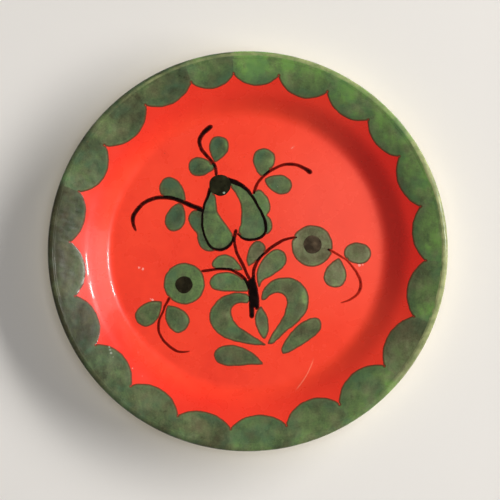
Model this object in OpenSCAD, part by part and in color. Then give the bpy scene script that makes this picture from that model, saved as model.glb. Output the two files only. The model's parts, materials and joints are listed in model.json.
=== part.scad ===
// Hand painted ceramic plate, thrown in red glaze with a scalloped green border
// and a flower spray. Face up: +Z is up, +Y is the top of the painted spray, and
// the origin is the centre of the foot ring on the table. Millimetres.

/* [Plate] */
// Overall diameter over the lip
plate_d = 250; // [230:1:280]
// Thickness of the wall, with its coats, from the floor to the lip
wall_t = 5; // [4.5:0.1:5.5]
// Width of the rim, from the shoulder of the well to the edge of the plate
rim_w = 22; // [20:0.5:25]
// Slope of the rim, outwards and up
rim_slope = 15; // [14:0.5:18]

/* [Well] */
// Width of the wall of the well, from the flat floor to the rim
wall_w = 20; // [18:0.5:24]
// Radius of the bend between the floor and the wall of the well
cove_r = 14; // [11:0.5:14.5]
// Slope of the wall of the well
wall_slope = 29; // [26:0.5:31]
// Radius of the bend between the wall of the well and the rim
shoulder_r = 34; // [28:1:36]

/* [Foot] */
// Distance of the foot ring from the edge of the flat floor
foot_inset = 5; // [4:0.5:9]
// Width of the foot ring where it joins the body
foot_w = 8; // [6:0.5:10]
// Height of the foot ring, which lifts the floor off the table
foot_h = 4; // [3:0.5:5]

/* [Coats] */
// Thickness of the fired glaze coats
glaze_t = 0.4; // [0.3:0.05:0.5]
// Height of the green enamel above the red glaze
enamel_t = 0.3; // [0.2:0.05:0.35]
// Height of the black strokes above the red glaze
stroke_t = 0.4; // [0.2:0.05:0.5]

/* [Border] */
// Distance of the points where neighbouring scallops meet from the edge of the plate
cusp_inset = 13.5; // [12:0.5:16]
// Width of the lip left clear outside the border
border_gap = 3.8; // [3.6:0.1:4.5]

/* [Hidden] */
$fn = 64;

plate_r = plate_d / 2;
rim_inner_r = plate_r - rim_w;
well_r = rim_inner_r - wall_w;
well_z = foot_h + wall_t;
foot_r = well_r - foot_inset;
foot_draft = 0.8;
foot_chamfer = 0.8;

// Steps of the bends, in degrees
cove_step = wall_slope / 8;
shoulder_step = (wall_slope - rim_slope) / 6;
lip_step = 7.5;

// Turning points of the face: end of the cove, start of the shoulder, start of the rim
cove_end = [well_r + cove_r * sin(wall_slope), well_z + cove_r * (1 - cos(wall_slope))];
shoulder_run = shoulder_r * (sin(wall_slope) - sin(rim_slope));
shoulder_x = rim_inner_r - shoulder_run;
shoulder_z = cove_end[1] + (shoulder_x - cove_end[0]) * tan(wall_slope);
rim_z = shoulder_z + shoulder_r * (cos(rim_slope) - cos(wall_slope));

// The lip is a half round as thick as the wall; the rim leaves it at its two tangent points.
lip_r = wall_t / 2;
rim_dir = [cos(rim_slope), sin(rim_slope)];
rim_up = [-rim_dir[1], rim_dir[0]];
lip_x = plate_r - lip_r;
lip_top_x = lip_x + lip_r * rim_up[0];
lip_top = [lip_top_x, rim_z + (lip_top_x - rim_inner_r) * tan(rim_slope)];
lip_c = lip_top - lip_r * rim_up;
plate_h = lip_c[1] + lip_r;

// Hand painted border: the angle at which each dab starts, anticlockwise from +X,
// and how far its rounded end reaches in from the edge of the plate
dab_angles = [14.5, 32, 47.5, 63.5, 80, 94.5, 108.5, 125, 143.5, 160.5, 177,
              194.5, 211.5, 229, 247, 264.5, 282.5, 301, 320, 338.5, 357];
dab_widths = [21.6, 20.3, 21.3, 23.1, 21.1, 20.7, 21.1, 24.3, 23.8, 21.1, 22.6,
              22.4, 23.1, 22.9, 21, 22.3, 24.5, 24.1, 22.5, 22.5, 21.4];
dabs = len(dab_angles);
cusp_r = plate_r - cusp_inset;
border_end = plate_r - border_gap;
border_top = [border_end, lip_top[1] - (lip_top[0] - border_end) * tan(rim_slope), rim_slope];

function dab_name(i) = str("scallop_", i < 10 ? "0" : "", i);

// Middles of the two eye flowers, and how large their discs are
eye_l = [-39.7, -20.2];
eye_r = [40.3, 3.4];
flower_r = 12.6;

// A stroke's point at [x, y] from the middle of the flower that the stroke meets
function meets(flower, x, y, width) = [flower[0] + x, flower[1] + y, width];

// Painted spray: tips, ends and turning points in mm from the centre, drawn by hand
// at full size. A stroke is a list of [x, y, width].
stroke_top = [[-23.4, 77.8, 3], [-27.5, 74.4, 2.9], [-30.2, 69.5, 2.5], [-29.2, 64.8, 2.3],
              [-26, 60, 2.2], [-22.2, 55.8, 2], [-20, 52, 1.9], [-19.8, 46, 1.8]];
stroke_left = [[-28.8, 26, 3.2], [-34, 28.2, 3], [-40, 30.6, 2.6], [-46, 33, 2.4],
               [-53, 33.9, 2.4], [-60, 32.6, 2.4], [-66, 29.3, 2.4], [-70.6, 24, 2.5],
               [-72, 18.5, 2.4], [-70.4, 13.2, 1.4]];
stroke_right = [[3.8, 36.4, 1.8], [5.8, 42, 1.7], [9.5, 46.8, 1.8], [15, 50.8, 1.8],
                [21, 53.8, 1.8], [27, 54.6, 1.9], [33.5, 53, 2.2], [39, 49.6, 2.9]];
stroke_tulip_l = [[-23, 40, 2.6], [-25.2, 34, 1.7], [-27.4, 28, 1.5], [-28.4, 21, 1.4],
                  [-28, 13.5, 1.4], [-26, 7, 1.5], [-22.6, 2.4, 1.8], [-18.2, 1, 1.8],
                  [-13.6, 2.1, 1.7], [-10.2, 5.4, 1.6], [-9, 9.5, 1.5]];
stroke_tulip_r = [[-14, 44.8, 3.6], [-7.2, 42.9, 2.9], [-1.4, 39.4, 2.2], [3.2, 34, 1.8],
                  [6.6, 27.8, 1.6], [9.6, 22, 1.7], [11.3, 16, 1.9], [10.6, 11, 1.8],
                  [6.6, 8.2, 1.7], [1.5, 7.1, 1.7], [-3, 8.2, 1.6], [-6.4, 11, 1.2]];
stroke_low_r = [meets(eye_r, 10.3, -2.3, 1.6), [54.5, -0.9, 1.5], [58.5, -3.2, 1.3], [62.5, -6.2, 1.2],
                [66.6, -11, 1.4], [69.8, -16.5, 1.9], [70.8, -21.5, 2], [69, -26.2, 1.6],
                [65, -29.6, 1.3], [58.5, -32.3, 0.6]];
stroke_low_l = [meets(eye_l, -9.3, -9, 2), [-51.6, -34, 1.6], [-53.6, -39, 1.4], [-55.5, -43.6, 1.6],
                [-55.8, -49, 1.7], [-53.9, -54, 1.6], [-49.8, -58.8, 1.6],
                [-44.8, -62.3, 1.6], [-41, -63, 1.3], [-36.6, -62.6, 0.6]];
strokes = [stroke_top, stroke_left, stroke_right, stroke_tulip_l, stroke_tulip_r, stroke_low_r,
           stroke_low_l];
branch_left = [meets(eye_l, 11.3, 7.6, 1.5), [-23, -11.5, 1.7], [-16, -10.9, 1.6], [-9.5, -12, 1.7],
               [-4, -15.2, 1.8], [-0.4, -19.4, 2.2], [1.6, -25, 2.4]];
branch_tulip = [[-7.4, 12.9, 2.2], [-8.4, 8, 1.8], [-8.2, 3.8, 1.7], [-6.4, -1.6, 1.7],
                [-3.6, -7.4, 1.8], [-1, -13, 1.9], [1.6, -19, 2.2], [2.8, -25, 2.6]];
branch_right = [meets(eye_r, -9.7, 5.3, 1), [25, 7.9, 1.5], [18.6, 5, 1.9], [12.4, 0.4, 1.8],
                [7.4, -4.2, 1.9], [4.4, -9.6, 1.9], [3.6, -15.5, 2.1], [3.8, -23, 2.8]];
trunk_left = [[2.4, -20, 3], [2.2, -27, 3.6], [2.4, -34, 3.4], [2.6, -40.4, 3.2]];
trunk_right = [[3.2, -17, 2.6], [4.6, -25, 3.8], [5.4, -31, 3.8], [5.7, -35.2, 3.2]];

// A petal is a closed curve that starts at its pointed end.
tulip_petal_l = [[-23.4, 38.6], [-20.4, 33.4], [-19.6, 28], [-18.8, 24], [-15, 18], [-10.6, 12.4],
                 [-9.4, 8.6], [-11.4, 4.3], [-15.6, 1.3], [-20.6, 1.3], [-25, 5.2], [-27.6, 11.6],
                 [-28.4, 20], [-27.6, 28]];
tulip_petal_r = [[-12.6, 42.6], [-8, 37.4], [-5, 31.6], [-3.7, 25.5], [-4, 18.5], [-5.4, 11.8],
                 [-3, 8.4], [2.5, 7.2], [8, 8.8], [11.1, 13], [10.6, 19.5], [7.8, 25.6],
                 [4.4, 32], [-0.2, 38.4], [-6, 42.2]];
tulip_back_l = [[-28, 25.6], [-32.4, 26], [-36.2, 23], [-36.6, 18.6], [-34, 14], [-31.6, 11],
                [-31, 6.6], [-29, 2.6], [-25.6, 0.4], [-20.6, 0.6], [-24, 4], [-26.6, 8.8],
                [-28.2, 16]];
tulip_back_r = [[3, 35.2], [5, 38], [8.4, 37.6], [12, 34], [13.8, 28.8], [13.2, 24.8],
                [11.8, 22.4], [13.9, 20.4], [15.2, 16.6], [14, 12.6], [10.4, 10.4], [11.3, 15],
                [9.6, 22], [6.6, 27.8]];
stem_leaf_ul = [[-3.6, -11.2], [-6.4, -7], [-10, -3.8], [-14.6, -2.2], [-19.2, -3.6],
                [-22.2, -7.6], [-20.6, -10.6], [-15.6, -11], [-9.5, -12]];
stem_leaf_ll = [[1.4, -24.8], [0, -21], [-3.2, -17.4], [-7.6, -14.6], [-12.8, -13.3],
                [-18.4, -14], [-22.6, -16.6], [-23.6, -20], [-21.6, -23.2], [-16.6, -24.6],
                [-9, -24.8], [-3.6, -25]];
stem_leaf_ur = [[0.4, -9.2], [-0.6, -4.6], [0.5, 0], [2.8, 4], [6, 6.2], [9.2, 5],
                [10.8, 1.6], [9.4, -2.4], [5.8, -5.6]];
stem_leaf_lr = [[6.9, -22.4], [5.9, -14.6], [7.6, -8.4], [11.6, -3], [15.4, 0], [19.4, 0.9],
                [22.8, -1], [24, -4.8], [22.4, -9.2], [18, -13], [12, -16.4], [8.8, -18.8]];
heart_l = [[11.2, -58.9], [6, -54.9], [0.4, -51.6], [-5, -48], [-9, -43.6], [-10.8, -38.6],
           [-9.4, -34.2], [-5, -32.2], [0, -32], [2.4, -30.4], [0.6, -27.4], [-5, -26.2],
           [-11, -26.8], [-17, -29.6], [-21.6, -34.4], [-23.6, -40.4], [-22, -47.2],
           [-16.6, -52.6], [-9.6, -55.6], [0, -57.8]];
heart_r = [[12.8, -57.6], [15, -52.6], [18.6, -47.4], [22.2, -41.6], [24.4, -35.4],
           [24.6, -30], [22.2, -26.8], [18.2, -25.8], [14, -27.2], [10.6, -30], [8.8, -29.8],
           [9.4, -25.6], [12.4, -21], [17, -17.8], [23, -16.7], [29.6, -17.8], [34.8, -21.8],
           [37.8, -28.2], [37, -35.6], [32.8, -42.4], [26.6, -47.8], [20.8, -52.6], [16.2, -57.2]];
heart_seed = [[8.2, -34.8], [5.4, -39], [4.8, -43.6], [6.2, -48.6], [8.4, -52.4], [10.6, -54.4],
              [12.4, -51], [12.9, -46], [11.8, -40.6]];
base_l = [[9.6, -70.6], [6.4, -66.8], [1.8, -63], [-4, -60.2], [-10.4, -58.9], [-16.6, -59.8],
          [-20.6, -63.4], [-20, -67.8], [-16.2, -70.6], [-9.6, -71.4], [0, -70.9]];
base_r = [[22.2, -63.9], [21.4, -60.4], [24.6, -54.6], [29, -49], [34, -44.6], [39.6, -42.1],
          [44.2, -42.6], [45.8, -46.4], [43.4, -51.2], [37.6, -55.8], [31, -60], [26, -62.9]];
low_right_side = [[61.6, -4.4], [60.6, -0.4], [62.6, 3.4], [68, 5.1], [73.6, 3.8], [76.8, 0],
                  [75.8, -4.6], [71.4, -7.6], [66, -7]];
left_upper = [[-39, 30.8], [-39.6, 35.4], [-41.4, 40.4], [-44.6, 44.6], [-48.8, 46.2],
              [-52.8, 44.6], [-54.9, 40.4], [-54.2, 36], [-51.4, 33.9], [-45.4, 32.8]];
low_left_side = [[-54.2, -31.7], [-60, -31.5], [-66, -34], [-70, -38.8], [-69, -44],
                 [-64.4, -46.7], [-59.4, -45.3], [-56.6, -42], [-54.8, -37.4]];
low_left_inner = [[-50, -34.2], [-51.2, -38.6], [-50.6, -43.8], [-47.8, -48.6], [-43.6, -50.9],
                  [-39.2, -48.8], [-36.8, -44.2], [-37.8, -39.8], [-41.4, -36.8], [-46, -34.8]];

// A drop leaf is [tip x, tip y, end x, end y, width]. A taper of 0 makes it an oval, 1 a drop.
top_leaf_side = [-20.6, 52.3, -36.8, 53.2, 11.4];
top_leaf_up = [-20.4, 56, -16.6, 71.6, 11.8];
left_leaf_low = [-42, 30.2, -47.8, 13, 12];
right_leaf_up = [8.6, 47, 11.2, 64, 13.6];
right_leaf_low = [11, 44.8, 27, 39.6, 11.6];
low_right_leaf = [57, -4.4, 53.2, -22.2, 13.6];
drop_taper = 0.8;
oval_taper = 0.55;

pupil_l = eye_l + [-0.3, -0.8];
pupil_r = eye_r + [0.2, 0.8];
pupil_l_r = 5.4;
pupil_r_r = 5.7;
cap_c = [-17.4, 41.3];
cap_r = 6.8;

// The spray is painted as large as the floor allows, with a small gap at its edge.
spray_gap = 0.25;
spray_reach = max([for (s = strokes) for (p = s) norm([p[0], p[1]]) + p[2] / 2]);
motif_k = (well_r - spray_gap) / spray_reach;

clay = "#d8b48c";
red = "#e8402c";
cream = "#d9d2b4";
green = "#5f7550";
dab_green = "#667c52";
black = "#241c18";

// --- Curves -----------------------------------------------------------------

// The face, coats included, as samples of [radius, height, slope in degrees]
cove_line = [for (a = [0:cove_step:wall_slope + 0.01])
    [well_r + cove_r * sin(a), well_z + cove_r * (1 - cos(a)), a]];
shoulder_line = [for (a = [wall_slope:-shoulder_step:rim_slope - 0.01])
    [shoulder_x + shoulder_r * (sin(wall_slope) - sin(a)),
     shoulder_z + shoulder_r * (cos(a) - cos(wall_slope)), a]];
face_line = concat([[0, well_z, 0]], cove_line, shoulder_line, [[lip_top[0], lip_top[1], rim_slope]]);
border_line = concat([cove_line[len(cove_line) - 1]], shoulder_line, [border_top]);

// A line moved square to itself by d, upwards for a positive d
function raised(line, d) = [for (p = line) [p[0] - d * sin(p[2]), p[1] + d * cos(p[2])]];
function turned(list) = [for (i = [len(list) - 1:-1:0]) list[i]];
function lip_arc(r) = [for (a = [90 + rim_slope:-lip_step:rim_slope - 90 - 0.01])
    lip_c + r * [cos(a), sin(a)]];

// Smooth curve through a list of points: every point is passed, with n steps to each span
function spline(a, b, c, d, t) =
    (2 * b + (c - a) * t + (2 * a - 5 * b + 4 * c - d) * t * t + (3 * b - a - 3 * c + d) * t * t * t) / 2;
function smooth(pts, n) = [for (i = [0:len(pts) - 2]) for (k = [0:n - 1])
    spline(pts[max(i - 1, 0)], pts[i], pts[i + 1], pts[min(i + 2, len(pts) - 1)], k / n)];
function closed(pts) = smooth(concat(pts, [pts[0]]) * motif_k, 4);

// Outline of a brush stroke with round ends
function place(p) = [p[0], p[1]];
function heading(c, i) = let (d = place(c[min(i + 1, len(c) - 1)]) - place(c[max(i - 1, 0)]))
    atan2(d[1], d[0]);
function side(c, s) = [for (i = [0:len(c) - 1]) let (a = heading(c, i) + 90 * s)
    place(c[i]) + c[i][2] / 2 * [cos(a), sin(a)]];
function cap(p, a) = [for (k = [1:5]) place(p) + p[2] / 2 * [cos(a - 30 * k), sin(a - 30 * k)]];
function brushed(pts) =
    let (c = concat(smooth(pts * motif_k, 4), [pts[len(pts) - 1] * motif_k]), e = len(c) - 1)
    concat(side(c, 1), cap(c[e], heading(c, e) + 90), turned(side(c, -1)), cap(c[0], heading(c, 0) - 90));

// Outline of a drop leaf from its tip to its round end
function drop(leaf, taper) =
    let (tip = [leaf[0], leaf[1]], axis = [leaf[2], leaf[3]] - tip, long = norm(axis), u = axis / long)
    [for (t = [0:10:350]) motif_k * (tip + u * long * (1 - cos(t)) / 2
        + [-u[1], u[0]] * leaf[4] / 2 * sin(t) * pow(sin(t / 2), taper) * (1 + 0.3 * taper))];

// --- Solids -----------------------------------------------------------------

// A ring turned from a half section
module turn(section) { rotate_extrude($fn = 180) polygon(section); }

// Paint on the flat of the well
module paint(height) { translate([0, 0, well_z]) linear_extrude(height) children(); }

module black_strokes() {
    for (s = strokes) polygon(brushed(s));
    cap_disc();
    stem_shape();
}
module cap_disc() { translate(cap_c * motif_k) circle(r = cap_r * motif_k); }
module stem_shape() {
    for (s = [branch_left, branch_tulip, branch_right, trunk_left, trunk_right]) polygon(brushed(s));
}

module clay_body() {
    color(clay) turn(concat(raised(face_line, -glaze_t), lip_arc(lip_r - glaze_t),
                            turned(raised(face_line, glaze_t - wall_t))));
}

module foot_ring() {
    inner = foot_r - foot_w;
    top = foot_h + glaze_t;
    taper = foot_draft + foot_chamfer;
    color(clay) turn([[inner, top], [foot_r, top], [foot_r - foot_draft, foot_chamfer],
                      [foot_r - taper, 0], [inner + taper, 0], [inner + foot_draft, foot_chamfer]]);
}

// Red glaze over the well, the cove and the rim
module face_glaze() {
    color(red) turn(concat(raised(face_line, 0), turned(raised(face_line, -glaze_t))));
}

// Pale glaze that has run thin over the lip
module lip_glaze() {
    color(cream) turn(concat(lip_arc(lip_r), turned(lip_arc(lip_r - glaze_t))));
}

// Coat of the underside, from the lip down to the foot ring
module back_glaze() {
    line = concat([[foot_r, well_z, 0]], [for (p = face_line) if (p[0] > foot_r) p]);
    color(cream) turn(concat(raised(line, glaze_t - wall_t), turned(raised(line, -wall_t))));
}

// Coat of the floor inside the foot ring
module base_glaze() {
    color(cream) translate([0, 0, foot_h]) cylinder(r = foot_r - foot_w, h = glaze_t);
}

// One dab of the border: a slice of a coat that follows the rim, with a rounded inner end
module scallop(i) {
    a = dab_angles[i - 1];
    b = i < dabs ? dab_angles[i] : dab_angles[0] + 360;
    half = (b - a) / 2;
    reach = plate_r - dab_widths[i - 1];
    centre = (cusp_r * cusp_r - reach * reach) / (2 * (cusp_r * cos(half) - reach));
    color(dab_green) rotate(a) intersection() {
        rotate_extrude(angle = b - a, $fn = 180)
            polygon(concat(raised(border_line, enamel_t), turned(raised(border_line, 0))));
        rotate(half) translate([centre, 0, 0]) cylinder(r = centre - reach, h = plate_h * 2);
    }
}

module tulip_cap() { color(black) paint(stroke_t) cap_disc(); }

module tulip_outline() {
    color(black) paint(stroke_t) difference() {
        union() {
            polygon(brushed(stroke_tulip_l));
            polygon(brushed(stroke_tulip_r));
        }
        cap_disc();
        stem_shape();
    }
}

module tendril(points) {
    color(black) paint(stroke_t) difference() {
        polygon(brushed(points));
        cap_disc();
        polygon(brushed(stroke_tulip_l));
        polygon(brushed(stroke_tulip_r));
    }
}

// A green patch, kept clear of every black stroke that crosses it
module patch(outline) {
    color(green) paint(enamel_t) difference() {
        polygon(outline);
        black_strokes();
    }
}

module tendril_top() { tendril(stroke_top); }
module tendril_left() { tendril(stroke_left); }
module tendril_right() { tendril(stroke_right); }
module tendril_low_left() { tendril(stroke_low_l); }
module tendril_low_right() { tendril(stroke_low_r); }

module tulip_petal_left() { patch(closed(tulip_petal_l)); }
module tulip_petal_right() { patch(closed(tulip_petal_r)); }
module tulip_back_petal_left() { patch(closed(tulip_back_l)); }
module tulip_back_petal_right() { patch(closed(tulip_back_r)); }

module leaves_top() {
    patch(drop(top_leaf_side, drop_taper));
    patch(drop(top_leaf_up, drop_taper));
}
module leaves_left() {
    patch(closed(left_upper));
    patch(drop(left_leaf_low, oval_taper));
}
module leaves_right() {
    patch(drop(right_leaf_up, drop_taper));
    patch(drop(right_leaf_low, oval_taper));
}
module leaves_low_left() {
    patch(closed(low_left_side));
    patch(closed(low_left_inner));
}
module leaves_low_right() {
    patch(closed(low_right_side));
    patch(drop(low_right_leaf, drop_taper));
}

// An eye flower is a green disc round a dark eye.
module flower(centre, eye, eye_r) {
    color(green) paint(enamel_t) difference() {
        translate(centre * motif_k) circle(r = flower_r * motif_k);
        translate(eye * motif_k) circle(r = eye_r * motif_k);
        black_strokes();
    }
}
module pupil(centre, r) { color(black) paint(stroke_t) translate(centre * motif_k) circle(r = r * motif_k); }

module flower_left_disc() { flower(eye_l, pupil_l, pupil_l_r); }
module flower_left_eye() { pupil(pupil_l, pupil_l_r); }
module flower_right_disc() { flower(eye_r, pupil_r, pupil_r_r); }
module flower_right_eye() { pupil(pupil_r, pupil_r_r); }

module stem() { color(black) paint(stroke_t) stem_shape(); }
module stem_leaf_upper_left() { patch(closed(stem_leaf_ul)); }
module stem_leaf_lower_left() { patch(closed(stem_leaf_ll)); }
module stem_leaf_upper_right() { patch(closed(stem_leaf_ur)); }
module stem_leaf_lower_right() { patch(closed(stem_leaf_lr)); }

module heart_scroll_left() { patch(closed(heart_l)); }
module heart_scroll_right() { patch(closed(heart_r)); }
module heart_seed_leaf() { patch(closed(heart_seed)); }
module base_leaf_left() { patch(closed(base_l)); }
module base_leaf_right() { patch(closed(base_r)); }

// --- Assembly ---------------------------------------------------------------

clay_body();
foot_ring();
face_glaze();
lip_glaze();
back_glaze();
base_glaze();
for (i = [1:dabs]) scallop(i);
tulip_cap();
tulip_outline();
tulip_petal_left();
tulip_petal_right();
tulip_back_petal_left();
tulip_back_petal_right();
tendril_top();
tendril_left();
tendril_right();
tendril_low_left();
tendril_low_right();
leaves_top();
leaves_left();
leaves_right();
leaves_low_left();
leaves_low_right();
flower_left_disc();
flower_left_eye();
flower_right_disc();
flower_right_eye();
stem();
stem_leaf_upper_left();
stem_leaf_lower_left();
stem_leaf_upper_right();
stem_leaf_lower_right();
heart_scroll_left();
heart_scroll_right();
heart_seed_leaf();
base_leaf_left();
base_leaf_right();
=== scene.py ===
"""Looks of the hand painted plate: glazes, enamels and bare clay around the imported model."""

import json
import math

import bpy
import numpy as np
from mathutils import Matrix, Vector
from mathutils.geometry import delaunay_2d_cdt

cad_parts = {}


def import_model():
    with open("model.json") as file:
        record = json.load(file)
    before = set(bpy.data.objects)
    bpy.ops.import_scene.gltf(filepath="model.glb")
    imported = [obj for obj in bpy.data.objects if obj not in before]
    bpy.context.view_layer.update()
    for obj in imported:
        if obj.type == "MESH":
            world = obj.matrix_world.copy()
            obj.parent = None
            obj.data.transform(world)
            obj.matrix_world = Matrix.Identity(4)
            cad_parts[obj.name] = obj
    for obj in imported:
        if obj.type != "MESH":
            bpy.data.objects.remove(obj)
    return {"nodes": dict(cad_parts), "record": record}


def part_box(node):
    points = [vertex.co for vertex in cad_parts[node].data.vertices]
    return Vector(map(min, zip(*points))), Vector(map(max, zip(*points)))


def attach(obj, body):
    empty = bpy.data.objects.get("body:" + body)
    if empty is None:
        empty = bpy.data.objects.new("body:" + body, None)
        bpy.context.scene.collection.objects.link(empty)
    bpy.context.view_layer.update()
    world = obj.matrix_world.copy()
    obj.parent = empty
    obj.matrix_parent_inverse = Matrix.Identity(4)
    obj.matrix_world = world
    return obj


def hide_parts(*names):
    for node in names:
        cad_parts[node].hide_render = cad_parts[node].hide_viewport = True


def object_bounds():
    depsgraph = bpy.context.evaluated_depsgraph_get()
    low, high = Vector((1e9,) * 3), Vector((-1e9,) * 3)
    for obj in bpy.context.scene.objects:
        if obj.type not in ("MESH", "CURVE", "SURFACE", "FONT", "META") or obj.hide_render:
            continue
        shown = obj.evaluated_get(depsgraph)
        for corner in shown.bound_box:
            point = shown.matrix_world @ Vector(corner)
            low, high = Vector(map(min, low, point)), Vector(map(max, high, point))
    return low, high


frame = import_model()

MM = 0.001
cad_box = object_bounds()

# --- What the frame says, in millimetres -------------------------------------

# How upright the normal of an upper or lower face is, at least
FACING = 0.6
# Rings of a turned face that lie closer than this are one ring
RING_GAP = 0.2


def faces_of(node, up):
    """The node's polygons that face up (1) or down (-1), as lists of corner places."""
    mesh = frame["nodes"][node].data
    place = [tuple(round(c / MM, 3) for c in v.co) for v in mesh.vertices]
    return [[place[i] for i in p.vertices] for p in mesh.polygons if p.normal.z * up > FACING]


def profile(node, up):
    """The turned face of a node as rows of radius and height, from the centre out."""
    rings = {}
    for face in faces_of(node, up):
        for x, y, z in face:
            radius = math.hypot(x, y)
            rings.setdefault(round(radius, 1), []).append((radius, z))
    rows = [np.mean(ring, axis=0) for _, ring in sorted(rings.items())]
    return np.array([row for i, row in enumerate(rows) if i == 0 or row[0] - rows[i - 1][0] > RING_GAP])


def outlines(node):
    """The closed outlines of the node's upper face, its holes among them."""
    edges = set()
    for face in faces_of(node, 1):
        ring = [(x, y) for x, y, z in face]
        edges.update(zip(ring, ring[1:] + ring[:1]))
    follows = {a: b for a, b in edges if (b, a) not in edges}
    loops = []
    for start in sorted(follows):
        if start not in follows:
            continue
        loop, here = [start], follows.pop(start)
        while here != start:
            loop.append(here)
            here = follows.pop(here)
        loops.append(np.array(loop))
    return loops


# --- The turned surface ------------------------------------------------------


def smooth_line(rows):
    """A function for the height at any radius: a smooth line through the rows."""
    r, z = rows.T
    slope = np.diff(z) / np.diff(r)
    product = slope[:-1] * slope[1:]
    inner = np.where(product > 0, 2 * product / np.where(product > 0, slope[:-1] + slope[1:], 1), 0)
    tangent = np.concatenate([slope[:1], inner, slope[-1:]])

    def height(q):
        i = np.clip(np.searchsorted(r, q) - 1, 0, len(r) - 2)
        h = r[i + 1] - r[i]
        t = (q - r[i]) / h
        return (z[i] * (1 + 2 * t) * (1 - t) ** 2 + z[i + 1] * t * t * (3 - 2 * t)
                + h * tangent[i] * t * (1 - t) ** 2 + h * tangent[i + 1] * t * t * (t - 1))

    return height


face_rows = profile("face_glaze", 1)
back_rows = profile("back_glaze", -1)
face_rows = np.vstack([[0, face_rows[0][1]], face_rows])
face_height = smooth_line(face_rows)
back_height = smooth_line(back_rows)

face_end, back_end = face_rows[-1], back_rows[-1]
lip_centre = (face_end + back_end) / 2
lip_r = np.linalg.norm(face_end - back_end) / 2
plate_r = lip_centre[0] + lip_r
well_r = face_rows[1][0]
foot_r = back_rows[0][0]
foot_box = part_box("foot_ring")
foot_top = foot_box[1].z / MM

# Thickness of the coats of glaze
COAT = 0.4
# How far the visible face lies under the CAD face, so that its unevenness stays in the CAD box
SINK = 0.16

rng = np.random.default_rng(11)


def waves(count, long, short, size):
    """Random plane waves of wavelengths from long to short, as one function of x and y."""
    angle = rng.uniform(0, 2 * math.pi, count)
    k = 2 * math.pi / np.geomspace(long, short, count)
    shift = rng.uniform(0, 2 * math.pi, count)

    def field(x, y):
        total = 0
        for a, wave, s in zip(angle, k, shift):
            total = total + np.sin(wave * (x * math.cos(a) + y * math.sin(a)) + s)
        return total * size / math.sqrt(count)

    return field


# How strongly the lip's glaze drifts along its way round
LIP_DRIFT = 0.35

# Small departures from the turned shape, in height or, for the warp, in the drawn outlines
unevenness = waves(count=7, long=75, short=16, size=0.045)
back_unevenness = waves(count=7, long=60, short=14, size=0.07)
warp_x = waves(count=5, long=16, short=5, size=0.13)
warp_y = waves(count=5, long=16, short=5, size=0.13)
lip_drift = waves(count=6, long=90, short=9, size=LIP_DRIFT)
brush_depth = waves(count=6, long=12, short=3, size=0.035)


def surface(x, y):
    """Height of the glazed face, with the small unevenness of a thrown plate."""
    return face_height(np.hypot(x, y)) + unevenness(x, y) - SINK


# --- Meshes ------------------------------------------------------------------


def piece(name, verts, faces, slot, replaced, creases=(), **attributes):
    """A closed mesh in mm, smooth but for its creases, that rides on the plate for a CAD node."""
    mesh = bpy.data.meshes.new(name)
    mesh.from_pydata((np.asarray(verts, float) * MM).tolist(), [], [list(map(int, f)) for f in faces])
    mesh.shade_smooth()
    if creases:
        sharp = {tuple(sorted(map(int, e))) for e in creases}
        for edge in mesh.edges:
            edge.use_edge_sharp = tuple(sorted(edge.vertices)) in sharp
    for key, values in attributes.items():
        mesh.attributes.new(key, "FLOAT", "POINT").data.foreach_set("value", np.asarray(values, np.float32))
    obj = bpy.data.objects.new(name, mesh)
    bpy.context.scene.collection.objects.link(obj)
    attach(obj, "root")
    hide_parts(replaced)
    return obj


def revolve(section, segments, shift):
    """Vertices and faces of a ring turned from a closed section of radius and height rows.

    A section point at radius 0 becomes one vertex. shift(x, y, row) gives each vertex its own
    small change of height, where row is its place in the section."""
    turn_angles = np.linspace(0, 2 * math.pi, segments, endpoint=False)
    verts, first = [], []
    for row, (r, z) in enumerate(section):
        first.append(len(verts))
        angles = turn_angles if r > 0 else turn_angles[:1]
        x, y = r * np.cos(angles), r * np.sin(angles)
        verts.extend(np.column_stack([x, y, z + shift(x, y, row)]))
    faces = []
    for i in range(len(section)):
        j = (i + 1) % len(section)
        pole_i, pole_j = section[i][0] == 0, section[j][0] == 0
        for k in range(segments):
            n = (k + 1) % segments
            if pole_i and pole_j:
                continue
            if pole_i:
                faces.append((first[i], first[j] + n, first[j] + k))
            elif pole_j:
                faces.append((first[i] + k, first[i] + n, first[j]))
            else:
                faces.append((first[i] + k, first[i] + n, first[j] + n, first[j] + k))
    return np.array(verts), faces


def evenly(loop, step):
    """The loop with its points no more than step apart, and none closer than a fifth of that."""
    spread = []
    for a, b in zip(loop, np.roll(loop, -1, axis=0)):
        n = max(1, math.ceil(np.linalg.norm(b - a) / step))
        spread.extend(a + (b - a) * k / n for k in range(n))
    kept = [spread[0]]
    for p in spread[1:]:
        if min(np.linalg.norm(p - kept[-1]), np.linalg.norm(p - kept[0])) > step / 5:
            kept.append(p)
    return np.array(kept)


# A turn of an outline by more degrees than this is a real corner
CORNER = 32


def rounded(loop, passes=2):
    """The loop with its small facets smoothed out and its real corners kept."""
    for _ in range(passes):
        before, after = np.roll(loop, 1, axis=0), np.roll(loop, -1, axis=0)
        u, v = loop - before, after - loop
        cosine = np.sum(u * v, axis=1) / (np.linalg.norm(u, axis=1) * np.linalg.norm(v, axis=1))
        soft = (cosine > math.cos(math.radians(CORNER)))[:, None]
        loop = np.where(soft, (before + 2 * loop + after) / 4, loop)
    return loop


def inside(points, loops):
    """True for each point inside the outlines, by counting what a ray crosses."""
    x, y = points[:, :1], points[:, 1:]
    odd = np.zeros(len(points), bool)
    for loop in loops:
        (x1, y1), (x2, y2) = loop.T, np.roll(loop, -1, axis=0).T
        crosses = (y1 > y) != (y2 > y)
        at = x1 + (y - y1) * (x2 - x1) / np.where(y2 == y1, 1, y2 - y1)
        odd ^= np.count_nonzero(crosses & (x < at), axis=1) % 2 == 1
    return odd


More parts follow.
